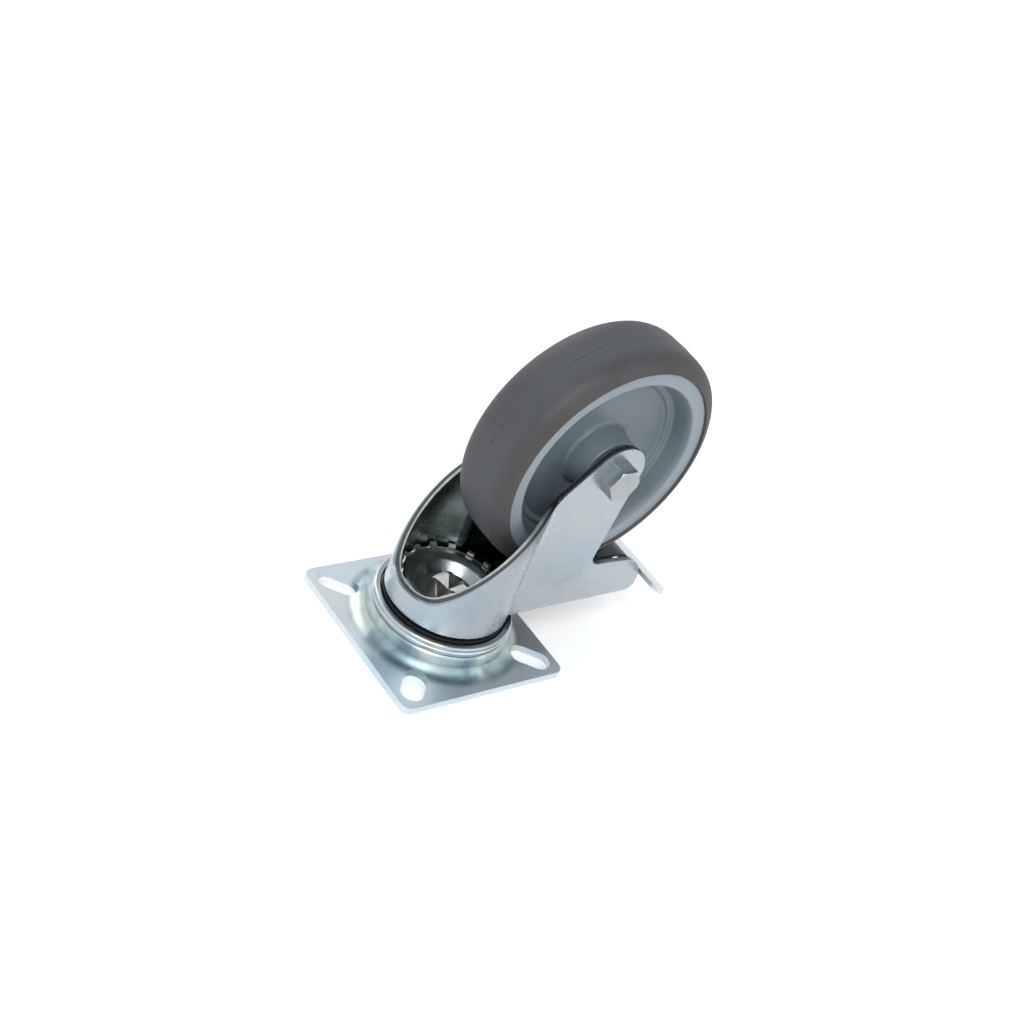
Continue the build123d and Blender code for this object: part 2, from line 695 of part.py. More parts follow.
# pad's edge when it brakes, turned back about the pivot to the released place
pad_r = wheel_r + pad_gap
brake_x = trail + pad_back
brake_z = axle_h - sqrt(pad_r**2 - pad_back**2)
turn_back = radians(-brake_travel)
shoe_x = pivot_x + (brake_x - pivot_x) * cos(turn_back) - (brake_z - pivot_z) * sin(turn_back)
shoe_z = pivot_z + (brake_x - pivot_x) * sin(turn_back) + (brake_z - pivot_z) * cos(turn_back)
shoe_foot_x = rivet_x + rivet_r * 2
shoe_start_x = rivet_x - rivet_r * 2
with BuildPart() as brake_shoe:
    rise = atan2(shoe_z - body_top - shoe_t, shoe_x - shoe_foot_x)
    with BuildSketch(Plane.XZ):
        Polygon(
            (shoe_start_x, body_top),
            (shoe_foot_x, body_top),
            (shoe_x + shoe_t * sin(rise), shoe_z - shoe_t * cos(rise)),
            (shoe_x, shoe_z),
            (shoe_foot_x - shoe_t * tan(rise / 2), body_top + shoe_t),
            (shoe_start_x, body_top + shoe_t),
            align=None,
        )
    extrude(amount=shoe_half, both=True)
    with Locations((rivet_x, 0, body_top + shoe_t / 2)):
        Cylinder(rivet_hole_r, shoe_t * 2, mode=Mode.SUBTRACT)
save(brake_shoe.part, "brake_shoe")

with BuildPart() as shoe_rivet:
    head_r = rivet_r + rivet_head_w
    with BuildSketch(Plane.XZ):
        Polygon(
            (0, body_top - lever_t - rivet_head_t),
            (head_r * 0.8, body_top - lever_t - rivet_head_t),
            (head_r, body_top - lever_t),
            (rivet_r, body_top - lever_t),
            (rivet_r, body_top + shoe_t),
            (head_r, body_top + shoe_t),
            (head_r * 0.8, body_top + shoe_t + rivet_head_t),
            (0, body_top + shoe_t + rivet_head_t),
            align=None,
        )
    revolve(axis=Axis.Z)
save(Pos(rivet_x, 0, 0) * shoe_rivet.part, "shoe_rivet")

leaf_x1 = web_end_x - moving_gap * 2
leaf_x0 = leaf_x1 - spring_len
with BuildPart() as leaf_spring:
    leaf_x2 = lever_front + cheek_r / 2
    leaf_z2 = body_top - lever_t - moving_gap - spring_t
    leaf_rise = atan2(leaf_z2 - web_top, leaf_x2 - leaf_x1)
    with BuildSketch(Plane.XZ):
        Polygon(
            (leaf_x0, web_top),
            (leaf_x1, web_top),
            (leaf_x2, leaf_z2),
            (leaf_x2 - spring_t * sin(leaf_rise), leaf_z2 + spring_t * cos(leaf_rise)),
            (leaf_x1 - spring_t * tan(leaf_rise / 2), web_top + spring_t),
            (leaf_x0, web_top + spring_t),
            align=None,
        )
    extrude(amount=neck_half - lever_t - moving_gap, both=True)
save(leaf_spring.part, "leaf_spring")
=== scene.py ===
"""Studio scene and surface finishes of a braked swivel castor that stands on its top plate.

The finishes come first, then the pieces that refine the CAD surfaces, and last the floor, lights and
camera.  Lengths are in metres, and `mm` turns millimetres into them.
"""

from math import cos, radians, sin

import bmesh
import bpy
import numpy as np
from mathutils import Matrix, Vector


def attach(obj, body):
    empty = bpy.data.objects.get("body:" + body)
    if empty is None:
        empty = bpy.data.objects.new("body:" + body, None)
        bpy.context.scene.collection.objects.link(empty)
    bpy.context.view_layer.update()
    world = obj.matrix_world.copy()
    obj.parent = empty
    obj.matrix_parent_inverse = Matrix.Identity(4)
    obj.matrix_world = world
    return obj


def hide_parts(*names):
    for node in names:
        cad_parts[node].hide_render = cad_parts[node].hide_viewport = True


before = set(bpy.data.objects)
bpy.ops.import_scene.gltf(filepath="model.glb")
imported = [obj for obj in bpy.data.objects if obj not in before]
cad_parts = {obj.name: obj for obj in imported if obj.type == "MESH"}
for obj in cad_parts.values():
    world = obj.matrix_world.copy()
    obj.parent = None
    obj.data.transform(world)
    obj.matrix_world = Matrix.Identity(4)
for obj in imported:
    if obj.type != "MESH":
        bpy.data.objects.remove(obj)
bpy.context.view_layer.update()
mm = 0.001

# ---------------------------------------------------------------- sizes shared with the part
AXLE = (31.4 * mm, 0.0, 66.3 * mm)  # a point on the wheel's axle, which runs along Y
TYRE_R = 40.0 * mm                  # outside radius of the tyre
TYRE_HALF = 11.5 * mm               # half its width
RIM_HALF = 10.6 * mm                # half the width of the wheel's centre
RING_R = TYRE_R - 5.4 * mm          # outside of its side ring
WELL_R = RING_R - 4.4 * mm          # inside of the ring
SEAT_R = RING_R - 0.9 * mm          # the tyre's seat between the rings
LIP_W = 1.3 * mm                    # from the ring's face to the seat
HUB_HALF = 11.0 * mm                # half the hub's length
BORE_R = 4.06 * mm                  # the hub's bore
CUP_R = 19.4 * mm                   # outside of the fork's round front
WALL_Y = 14.2 * mm                  # outside of its side walls
TAIL_X = 64.5 * mm                  # rear end of those walls
DOME_R = CUP_R + 2.9 * mm           # the plate's dome, at its top edge
FLARE_R = DOME_R + 4.9 * mm         # foot of the flare between dome and plate
PLATE_TOP = 2.4 * mm                # upper face of the plate
SLOT_IN_R = 28.3 * mm               # centre of a slot's inner end, from the swivel axis
SLOT_HALF = 3.7 * mm                # half a slot's width


# ---------------------------------------------------------------- node trees
def linear(hex_colour):
    """sRGB hex to linear RGBA: c / 12.92 below 0.04045, otherwise ((c + 0.055) / 1.055) ** 2.4."""
    s = np.array([int(hex_colour[i:i + 2], 16) for i in (1, 3, 5)]) / 255.0
    c = np.where(s <= 0.04045, s / 12.92, ((s + 0.055) / 1.055) ** 2.4)
    return (*c.tolist(), 1.0)


def join(tree, node, links):
    """Gives a node's inputs, by name or number, another node's output, a number, a vector or a hex colour."""
    for name, value in links.items():
        socket = node.inputs[name]
        if isinstance(value, bpy.types.NodeSocket):
            tree.links.new(value, socket)
        else:
            socket.default_value = linear(value) if isinstance(value, str) else value


def add(tree, kind, links, out=0, stops=(), **settings):
    """Adds one node with its links, its settings and, on a ramp, its (place, colour) stops.

    It gives back the node's output number `out`.  Where a node has several inputs of one name, the links
    go by number: a colour mix takes its factor, first and second colour at 0, 6 and 7, and gives its
    colour at 2; a vector step takes its vectors at 0 and 1, and gives a length at 1.
    """
    node = tree.nodes.new(kind)
    for name, value in settings.items():
        setattr(node, name, value)
    for number, (place, colour) in enumerate(stops):
        elements = node.color_ramp.elements
        stop = elements[number] if number < len(elements) else elements.new(place)
        stop.position = place
        stop.color = linear(colour)
    join(tree, node, links)
    return node.outputs[out]


def blank(name):
    """A new material with its tree, its shader and its object coordinates."""
    material = bpy.data.materials.new(name)
    material.use_nodes = True
    tree = material.node_tree
    coords = add(tree, "ShaderNodeTexCoord", {}).node.outputs["Object"]
    return material, tree, tree.nodes["Principled BSDF"], coords


def off_axis(tree, place, across):
    """Distance of a place from an axis through the origin: the length of place * across.

    The vector `across` is 1 on the two components that run across the axis, and 0 along it.
    """
    flat = add(tree, "ShaderNodeVectorMath", {0: place, 1: across}, operation="MULTIPLY")
    return add(tree, "ShaderNodeVectorMath", {0: flat}, out=1, operation="LENGTH")


# ---------------------------------------------------------------- steel and its plating
def castor_steel(name, base, tint, rough, cloud=24.0, grain=0.5, grain_depth=0.002, wave=0.02,
                 patchy=0.03, shade=None):
    """Cold-rolled or turned steel, most of it electroplated with zinc and passivated clear blue.

    That makes a soft metallic mirror.  The passivate film is thinner in some places than in others, so
    the grey `base` drifts to the two colours of `tint` in clouds about `cloud` mm wide.  Pressing leaves
    sheet gently wavy, which bends its reflections: `wave` mm deep over 9 mm.  The steel's own grain is
    about 0.05 mm wide, too fine to show, so it is drawn `grain` mm wide and `grain_depth` mm deep.  The
    roughness drifts by `patchy` either way of `rough` in patches 3.2 mm wide.  `shade`, where there is
    one, paints light and shade into the film's colour: painted shade in the fork's hollow, painted
    reflections on the dome.
    """
    wave_w, patch_w = 9.0 * mm, 3.2 * mm
    material, tree, shader, coords = blank(name)
    drift = add(tree, "ShaderNodeTexNoise", {"Vector": coords, "Scale": 1 / (cloud * mm), "Distortion": 0.5})
    film = add(tree, "ShaderNodeValToRGB", {"Fac": drift},
               stops=((0.32, tint[0]), (0.46, base), (0.56, base), (0.70, tint[1])))
    patches = add(tree, "ShaderNodeTexNoise", {"Vector": coords, "Scale": 1 / patch_w, "Detail": 1.5})
    gloss = add(tree, "ShaderNodeMapRange", {"Value": patches, "From Min": 0.35, "From Max": 0.65,
                                             "To Min": rough - patchy, "To Max": rough + patchy})
    swell = add(tree, "ShaderNodeTexNoise", {"Vector": coords, "Scale": 1 / wave_w, "Detail": 1.0})
    bent = add(tree, "ShaderNodeBump", {"Height": swell, "Strength": 1.0, "Distance": wave * mm})
    skin = add(tree, "ShaderNodeTexNoise", {"Vector": coords, "Scale": 1 / (grain * mm), "Detail": 3.0,
                                            "Roughness": 0.65})
    rolled = add(tree, "ShaderNodeBump", {"Height": skin, "Strength": 1.0, "Distance": grain_depth * mm,
                                          "Normal": bent})
    join(tree, shader, {"Base Color": shade(tree, coords, film) if shade else film, "Metallic": 1.0,
                        "Roughness": gloss, "Normal": rolled})
    return material


def fork_hollow_painted_shade(tree, coords, colour):
    """Painted shade in the fork's hollow: its zinc is painted a greener grey there, and near black where the
    shade is deepest.

    The hollow is all that lies nearer to the swivel axis than the outer 0.6 mm of the cup's sheet, or
    between the outer 0.4 mm of the side walls' sheets behind that axis.  The sheared edge of the sheet is
    grey there, and as bright as the outside beyond it.  Painted shade turns the foot of the cup near black
    below 16 mm, fading out by 22 mm, and the space round the brake as well.
    """
    reach = off_axis(tree, coords, (1.0, 1.0, 0.0))
    x, y, z = add(tree, "ShaderNodeSeparateXYZ", {"Vector": coords}).node.outputs
    across = add(tree, "ShaderNodeMath", {0: y}, operation="ABSOLUTE")
    in_cup, in_walls, behind, ahead, cup_edge, wall_edge, painted_shade_low_mask, painted_shade_brake_mask = (
        add(tree, "ShaderNodeMapRange", {"Value": value, "From Min": low, "From Max": high,
                                         "To Min": start, "To Max": 1.0 - start}, interpolation_type=slope)
        for value, low, high, start, slope in (
            (reach, CUP_R - 0.9 * mm, CUP_R - 0.6 * mm, 1.0, "LINEAR"),      # nearer than the cup's outside
            (across, WALL_Y - 0.7 * mm, WALL_Y - 0.4 * mm, 1.0, "LINEAR"),   # nearer than the walls' outsides
            (x, 0.0, 1.0 * mm, 0.0, "LINEAR"),                               # behind the swivel axis
            (x, TAIL_X - 0.6 * mm, TAIL_X - 0.2 * mm, 1.0, "LINEAR"),        # ahead of the walls' rear ends
            (reach, CUP_R - 1.95 * mm, CUP_R - 1.8 * mm, 0.0, "LINEAR"),     # further than the cup's inside
            (across, WALL_Y - 1.9 * mm, WALL_Y - 1.7 * mm, 0.0, "LINEAR"),   # further than the walls' insides
            (z, 16.0 * mm, 22.0 * mm, 1.0, "SMOOTHSTEP"),                    # low in the cup
            (x, 24.0 * mm, 38.0 * mm, 0.0, "SMOOTHSTEP"),                    # round the brake
        )
    )
    length = add(tree, "ShaderNodeMath", {0: behind, 1: ahead}, operation="MULTIPLY")
    slab = add(tree, "ShaderNodeMath", {0: in_walls, 1: length}, operation="MULTIPLY")
    hollow = add(tree, "ShaderNodeMath", {0: in_cup, 1: slab}, operation="MAXIMUM")
    cut_cup = add(tree, "ShaderNodeMath", {0: in_cup, 1: cup_edge}, operation="MULTIPLY")
    cut_walls = add(tree, "ShaderNodeMath", {0: slab, 1: wall_edge}, operation="MULTIPLY")
    sheared = add(tree, "ShaderNodeMath", {0: cut_cup, 1: cut_walls}, operation="MAXIMUM")
    # Painted shade: near black low in the cup and round the brake.
    painted_shade_mask = add(tree, "ShaderNodeMath", {0: painted_shade_low_mask, 1: painted_shade_brake_mask}, operation="MAXIMUM")
    stain = add(tree, "ShaderNodeTexNoise", {"Vector": coords, "Scale": 1 / (9.0 * mm), "Detail": 3.0,
                                             "Roughness": 0.6})
    # Painted shade: the hollow's zinc in a greener grey.
    painted_tone = add(tree, "ShaderNodeValToRGB", {"Fac": stain},
               stops=((0.35, "#98A3A0"), (0.50, "#B6BFBB"), (0.65, "#CBD0CD")))
    inner = add(tree, "ShaderNodeMix", {0: painted_shade_mask, 6: painted_tone, 7: "#202427"}, out=2, data_type="RGBA")
    edged = add(tree, "ShaderNodeMix", {0: sheared, 6: inner, 7: "#565E60"}, out=2, data_type="RGBA")
    return add(tree, "ShaderNodeMix", {0: hollow, 6: colour, 7: edged}, out=2, data_type="RGBA")


def dome_painted_reflection(tree, coords, colour):
    """Painted reflection round the dome: its zinc is painted darker and blue-green there, in uneven bands,
    for the dark things it mirrors.

    The mask fades from 1 to 0 over the skirt's foot, by the distance to the swivel axis.
    """
    reach = off_axis(tree, coords, (1.0, 1.0, 0.0))
    # Painted reflection: the mask of the dome's painted colour.
    drawn = add(tree, "ShaderNodeMapRange", {"Value": reach, "From Min": FLARE_R - 1.5 * mm,
                                             "From Max": FLARE_R + 1.5 * mm, "To Min": 1.0, "To Max": 0.0},
                interpolation_type="SMOOTHSTEP")
    painted_streak = add(tree, "ShaderNodeTexNoise", {"Vector": coords, "Scale": 1 / (14.0 * mm), "Distortion": 0.8})
    painted_tone = add(tree, "ShaderNodeValToRGB", {"Fac": painted_streak},
               stops=((0.34, "#6F8791"), (0.46, "#92A6AB"), (0.56, "#B0BFBF"), (0.68, "#C9CDC3")))
    return add(tree, "ShaderNodeMix", {0: drawn, 6: colour, 7: painted_tone}, out=2, data_type="RGBA")


# Zinc on flat, pressed sheet: broad pale reflections, with painted darker blue-green reflections over the
# drawn dome.
zinc_plate = castor_steel(
    "zinc_on_pressed_plate", "#D0D8DE", ("#BED0D8", "#D6D9D6"), 0.42, wave=0.006, patchy=0.02,
    shade=dome_painted_reflection)
# Zinc on deep-drawn sheet: the die has smoothed it, so it mirrors more sharply, in gently bent reflections;
# its hollow takes painted shade.
zinc_fork = castor_steel(
    "zinc_on_pressed_fork", "#A9B1B7", ("#9CAAB4", "#B3B3AF"), 0.28, grain_depth=0.0006, wave=0.018,
    patchy=0.02, shade=fork_hollow_painted_shade)
# Zinc on the lever's bent strip, painted paler than the fork as painted light on its up-facing strip, a
# little less glossy, with painted shade on its neck in the hollow.
zinc_pedal_painted_lit = castor_steel(
    "zinc_on_bent_lever_painted_light", "#CFD5D8", ("#C4CED3", "#D2D1CD"), 0.36, wave=0.01, shade=fork_hollow_painted_shade)
# Zinc on edges that tumbling in the plating barrel has broken and rubbed: a thin bright line.
zinc_edge = castor_steel(
    "zinc_on_barrelled_edge", "#CCD2D5", ("#C2CCD1", "#CFCEC9"), 0.30, grain=0.35, grain_depth=0.004)
# Zinc on the turned race: darker, with short speckled highlights.
zinc_race = castor_steel(
    "zinc_on_bearing_race", "#9FA8AD", ("#8D9EA6", "#A8A99F"), 0.32, cloud=10.0, grain=0.45,
    grain_depth=0.012)
# Zinc on the pressed and hardened dish: a satin bowl with small clouds.
zinc_dish = castor_steel(
    "zinc_on_hardened_dish", "#A2ABAD", ("#929FA6", "#A8A9A2"), 0.34, cloud=6.0, grain=0.6,
    grain_depth=0.006)
# Zinc on the pin's head, which the staking punch has torn: warm grey, coarse and matt.
zinc_pin = castor_steel(
    "zinc_on_staked_pin", "#B4B3B0", ("#A3A6A8", "#BDB8B0"), 0.42, cloud=4.0, grain=0.6, grain_depth=0.020,
    wave=0.0)
# Zinc on the crimped tabs, painted paler than the race's zinc as painted light, so that they stand out from
# the dark cup.
zinc_tabs_painted_light = castor_steel(
    "zinc_on_crimped_tabs_painted_light", "#D6DADB", ("#C9D0D4", "#DAD8D2"), 0.42, cloud=5.0, wave=0.0)
# Zinc on cold-headed bolts, nuts and pins: a mid grey with small speckled highlights.
zinc_bolt = castor_steel(
    "zinc_on_fastener", "#9FA8AA", ("#91A0A5", "#A9A99F"), 0.34, cloud=5.0, grain=0.6, grain_depth=0.012,
    wave=0.0)
# Phosphated spring steel, not plated: a dark, dull grey.
spring_steel = castor_steel("phosphated_spring_steel", "#4E5559", ("#454E54", "#55534C"), 0.45, cloud=6.0)
# Ground chrome steel of the balls, not plated: nearly a mirror.
ball_steel = castor_steel(
    "ground_ball_steel", "#9FA3A6", ("#989EA3", "#A3A19A"), 0.12, cloud=3.0, grain_depth=0.001, wave=0.0)


# ---------------------------------------------------------------- rubber and plastics
def grey_rubber():
    """Non-marking thermoplastic rubber, injection moulded and matt.

    The tread is a cool grey; the shoulders are rubbed warmer and darker from the packing, in patches
    13 mm wide.  The tool's spark finish is too fine to show, so its grit is drawn 0.5 mm wide.  The IOR
    is that of such rubber, 1.5.
    """
    material, tree, shader, coords = blank("moulded_grey_tpr")
    y = add(tree, "ShaderNodeSeparateXYZ", {"Vector": coords}, out=1)
    across = add(tree, "ShaderNodeMath", {0: y}, operation="ABSOLUTE")
    shoulder = add(tree, "ShaderNodeMapRange", {"Value": across, "From Min": 5.5 * mm, "From Max": 9.6 * mm},
                   interpolation_type="SMOOTHSTEP")
    patchy = add(tree, "ShaderNodeTexNoise", {"Vector": coords, "Scale": 1 / (13.0 * mm), "Detail": 3.0,
                                              "Roughness": 0.55, "Distortion": 0.4})
    patches = add(tree, "ShaderNodeMapRange", {"Value": patchy, "From Min": 0.36, "From Max": 0.60,
                                               "To Min": 0.35, "To Max": 1.0})
    rubbed = add(tree, "ShaderNodeMath", {0: shoulder, 1: patches}, operation="MULTIPLY")
    flow = add(tree, "ShaderNodeTexNoise", {"Vector": coords, "Scale": 1 / (20.0 * mm)})
    tread = add(tree, "ShaderNodeValToRGB", {"Fac": flow}, stops=((0.35, "#393B40"), (0.65, "#3F4146")))
    colour = add(tree, "ShaderNodeMix", {0: rubbed, 6: tread, 7: "#353233"}, out=2, data_type="RGBA")
    gloss = add(tree, "ShaderNodeMapRange", {"Value": rubbed, "To Min": 0.60, "To Max": 0.50})
    grit = add(tree, "ShaderNodeTexNoise", {"Vector": coords, "Scale": 1 / (0.5 * mm), "Detail": 3.0,
                                            "Roughness": 0.6})
    matt = add(tree, "ShaderNodeBump", {"Height": grit, "Strength": 0.6, "Distance": 0.015 * mm})
    join(tree, shader, {"Base Color": colour, "Roughness": gloss, "IOR": 1.5, "Normal": matt})
    return material


def grey_wheel_plastic():
    """Polypropylene wheel centre, injection moulded in blue-grey.

    The side ring comes from a spark-eroded part of the tool and is matt and pale; the web and hub come
    from a polished part, so they are shinier.  Inside the ring, web, hub and well wall are painted darker:
    painted shade for the recessed well.  The grit is drawn 0.4 mm wide, coarser than it is, so that it
    shows.  The IOR is that of such plastics, 1.5.
    """
    material, tree, shader, coords = blank("moulded_grey_pp_painted_shade_well")
    centred = add(tree, "ShaderNodeMapping", {"Vector": coords, "Location": [-place for place in AXLE]})
    reach = off_axis(tree, centred, (1.0, 0.0, 1.0))
    # Painted shade: the web, hub and well wall inside the ring are painted darker than the ring.
    inside = add(tree, "ShaderNodeMapRange", {"Value": reach, "From Min": WELL_R - 0.9 * mm,
                                              "From Max": WELL_R + 0.2 * mm, "To Min": 1.0, "To Max": 0.0})
    flow = add(tree, "ShaderNodeTexNoise", {"Vector": coords, "Scale": 1 / (22.0 * mm)})
    ring = add(tree, "ShaderNodeValToRGB", {"Fac": flow}, stops=((0.3, "#77828A"), (0.7, "#7F8990")))
    web = add(tree, "ShaderNodeValToRGB", {"Fac": flow}, stops=((0.3, "#56636A"), (0.7, "#616E75")))
    colour = add(tree, "ShaderNodeMix", {0: inside, 6: ring, 7: web}, out=2, data_type="RGBA")
    gloss = add(tree, "ShaderNodeMapRange", {"Value": inside, "To Min": 0.48, "To Max": 0.34})
    grit = add(tree, "ShaderNodeTexNoise", {"Vector": coords, "Scale": 1 / (0.4 * mm)})
    matt = add(tree, "ShaderNodeBump", {"Height": grit, "Strength": 0.35, "Distance": 0.01 * mm})
    join(tree, shader, {"Base Color": colour, "Roughness": gloss, "IOR": 1.5, "Normal": matt})
    return material


def plain_moulding(name, colour, darker, rough):
    """A small moulded piece, matt from its tool's spark finish, whose grit is drawn 0.3 mm wide to show."""
    material, tree, shader, coords = blank(name)
    flow = add(tree, "ShaderNodeTexNoise", {"Vector": coords, "Scale": 1 / (3.0 * mm)})
    mixed = add(tree, "ShaderNodeMix", {0: flow, 6: colour, 7: darker}, out=2, data_type="RGBA")
    grit = add(tree, "ShaderNodeTexNoise", {"Vector": coords, "Scale": 1 / (0.3 * mm), "Detail": 1.0})
    matt = add(tree, "ShaderNodeBump", {"Height": grit, "Strength": 0.5, "Distance": 0.01 * mm})
    join(tree, shader, {"Base Color": mixed, "Roughness": rough, "IOR": 1.5, "Normal": matt})
    return material


tyre_rubber = grey_rubber()
wheel_plastic_painted_shade = grey_wheel_plastic()
# Acetal ball cage, moulded black: a real cage whose black also serves as painted shade, a dark, even line in
# the swivel gap.
cage_plastic_painted_shade = plain_moulding("moulded_black_cage_painted_shade", "#131414", "#0C0D0D", 0.5)
# Nylon locking insert, moulded in its natural creamy white.
insert_nylon = plain_moulding("moulded_white_nylon", "#D5D6CC", "#C4C5BA", 0.45)


# ---------------------------------------------------------------- making pieces
def grid_mesh(name, x, y, z, close_u=False, close_v=False):
    """A smooth surface through a grid of points, whose three arrays broadcast to one shape (nu, nv).

    Point (i, j) is number i * nv + j, and each face joins (i, j), (i + 1, j), (i + 1, j + 1) and (i, j + 1).
    A closed direction also joins its last row to its first.
    """
    points = np.stack(np.broadcast_arrays(x, y, z), axis=-1)
    nu, nv = points.shape[:2]
    faces_u, faces_v = nu if close_u else nu - 1, nv if close_v else nv - 1
    i, j = np.meshgrid(np.arange(faces_u), np.arange(faces_v), indexing="ij")
    i_next, j_next = (i + 1) % nu, (j + 1) % nv
    quads = np.stack([i * nv + j, i_next * nv + j, i_next * nv + j_next, i * nv + j_next], axis=-1)
    mesh = bpy.data.meshes.new(name)
    mesh.from_pydata(points.reshape(-1, 3).tolist(), [], quads.reshape(-1, 4).tolist())
    mesh.polygons.foreach_set("use_smooth", np.ones(len(mesh.polygons), dtype=bool))
    mesh.update()
    piece = bpy.data.objects.new(name, mesh)
    bpy.context.scene.collection.objects.link(piece)
    return piece


def rounded(corners, radii, steps=6):
    """A closed outline with curves in its corners.

    Each corner c of radius r becomes (1 - t)^2 a + 2 t (1 - t) c + t^2 b, for t from 0 to 1, where a and b
    lie r before and after the corner on its two sides; r is held to under half of the shorter side.
    """
    corners = np.asarray(corners, float)
    before, after = np.roll(corners, 1, axis=0) - corners, np.roll(corners, -1, axis=0) - corners
    long_before, long_after = np.linalg.norm(before, axis=1), np.linalg.norm(after, axis=1)
    r = np.minimum(np.asarray(radii, float), 0.49 * np.minimum(long_before, long_after))
    a = corners + before * (r / long_before)[:, None]
    b = corners + after * (r / long_after)[:, None]
    t = np.linspace(0, 1, steps)[None, :, None]
    curve = (1 - t) ** 2 * a[:, None] + 2 * t * (1 - t) * corners[:, None] + t ** 2 * b[:, None]
    return curve.reshape(-1, 2)


def facing_out(piece):
    """Fills a piece's open rims, merges its doubles and points its normals outwards."""
    work = bmesh.new()
    work.from_mesh(piece.data)
    bmesh.ops.holes_fill(work, edges=[edge for edge in work.edges if edge.is_boundary], sides=0)
    bmesh.ops.remove_doubles(work, verts=work.verts, dist=1e-7)
    bmesh.ops.recalc_face_normals(work, faces=work.faces)
    work.to_mesh(piece.data)
    work.free()


def lathe(name, outline, turns=256):
    """A closed outline of (y, r) points turned about the axle: x = r cos(angle), z = r sin(angle)."""
    angle = np.linspace(0, 2 * np.pi, turns, endpoint=False)[:, None]
    y, r = outline[:, 0][None, :], outline[:, 1][None, :]
    x = AXLE[0] + r * np.cos(angle)
    z = AXLE[2] + r * np.sin(angle)
    piece = grid_mesh(name, x, AXLE[1] + y, z, close_u=True, close_v=True)
    facing_out(piece)
    return piece


def finish_piece(piece, body, material, slot, *nodes):
    """Gives a piece its finish, its body and the node it stands for."""
    piece.data.materials.clear()
    piece.data.materials.append(material)
    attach(piece, body)
    if nodes:
        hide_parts(*nodes)


# ---------------------------------------------------------------- wheel
def tyre_outline(points=161):
    """The tyre's section as (y, r) points: the tread and its shoulders, then the seat that grips the rim.

    With s = y / half the width, the tread is r = R - (R_out - bead) |s|^square - crown s^2 + seam(y), where
    seam(y) = seam_h exp(-(y / seam_w)^2) and R = R_out - seam_h.  The points crowd towards the sides:
    |s| = 1 - (1 - |u|)^crowd for u in even steps from -1 to 1.
    """
    seam_h, seam_w = 0.10 * mm, 0.22 * mm   # height and half width of the mould's parting seam
    crown = 0.12 * mm                       # how far the tread falls from its middle to its sides
    bead_r = RING_R + 0.5 * mm              # where the side ends, but for seam_h and crown
    square = 5.5                            # flatness of the tread and tightness of its shoulders
    crowd = 1.7                             # how closely the points follow the shoulders
    overlap = 0.02 * mm                     # of the bead past the ring's face
    u = np.linspace(-1, 1, points)
    s = np.sign(u) * (1 - (1 - np.abs(u)) ** crowd)
    y = s * TYRE_HALF
    r = TYRE_R - seam_h - (TYRE_R - bead_r) * np.abs(s) ** square - crown * s ** 2
    r = r + seam_h * np.exp(-(y / seam_w) ** 2)
    side = np.array([
        [RIM_HALF + overlap, RING_R],
        [RIM_HALF - LIP_W, RING_R],
        [RIM_HALF - LIP_W, SEAT_R],
    ])
    return np.concatenate([np.stack([y, r], axis=1), side, side[::-1] * (-1, 1)])


def rim_outline():
    """The wheel centre's section as (y, r) points: rounded corners on one side, mirrored onto the other.

    From the bore outwards: hub, web with its step, the well's tapered wall, side ring and the tyre's seat.
    """
    hub_r, hub_foot_r = 9.8 * mm, 10.8 * mm            # the hub's outside at its end and at the web
    web_half, step_half = 2.8 * mm, 4.1 * mm           # half the web's thickness inside and past its step
    step_in_r, step_out_r = 25.4 * mm, 26.2 * mm       # the step's slope
    well_foot_r = 27.8 * mm                            # where the well's wall leaves the web
    corners = np.array([
        [HUB_HALF, BORE_R],
        [HUB_HALF, hub_r],
        [web_half, hub_foot_r],
        [web_half, step_in_r],
        [step_half, step_out_r],
        [step_half, well_foot_r],
        [RIM_HALF, WELL_R],
        [RIM_HALF, RING_R],
        [RIM_HALF - LIP_W, RING_R],
        [RIM_HALF - LIP_W, SEAT_R],
    ])
    radii = mm * np.array([0.3, 0.7, 1.6, 0.6, 0.6, 1.4, 0.6, 0.25, 0.1, 0.1])   # one for each corner
    both = np.concatenate([corners, corners[::-1] * (-1, 1)])
    return rounded(both, np.concatenate([radii, radii[::-1]]))


def vent_nib(name, degrees_round, across):
    """A trimmed vent nib on the tread's seam, at an angle round the axle and some mm across from the middle.

    It is an ellipsoid with its middle just under the tread, u round it and v from end to end:
    along = length / 2 cos(v), across = width / 2 sin(v) cos(u), outwards = height sin(v) sin(u).
    """
    length, width, height = 0.9 * mm, 0.28 * mm, 0.22 * mm
    sunk = 0.05 * mm                        # its middle's depth under the tread
    end = 0.02                              # radians from a pole to the small open rim that is filled
    u = np.linspace(0, 2 * np.pi, 16, endpoint=False)[:, None]
    v = np.linspace(end, np.pi - end, 12)[None, :]
    along = length / 2 * np.cos(v)
    out = TYRE_R - sunk + height * np.sin(v) * np.sin(u)
    a = radians(degrees_round)
    x = AXLE[0] + out * cos(a) - along * sin(a)
    y = AXLE[1] + across * mm + width / 2 * np.sin(v) * np.cos(u)
    z = AXLE[2] + out * sin(a) + along * cos(a)
    piece = grid_mesh(name, x, y, z, close_u=True)
    facing_out(piece)
    return piece


finish_piece(lathe("tread_ring", tyre_outline()), "wheel", tyre_rubber, "grey_rubber", "tyre")
NIBS = ((161.4, 0.25), (163.0, 0.45), (168.1, 0.20), (170.0, 0.45))   # degrees round the axle, mm across
for number, (degrees_round, across) in enumerate(NIBS):
    finish_piece(vent_nib(f"vent_nib_{number}", degrees_round, across), "wheel", tyre_rubber, "grey_rubber")
finish_piece(lathe("wheel_centre", rim_outline()), "wheel", wheel_plastic_painted_shade, "grey_plastic", "wheel_rim")


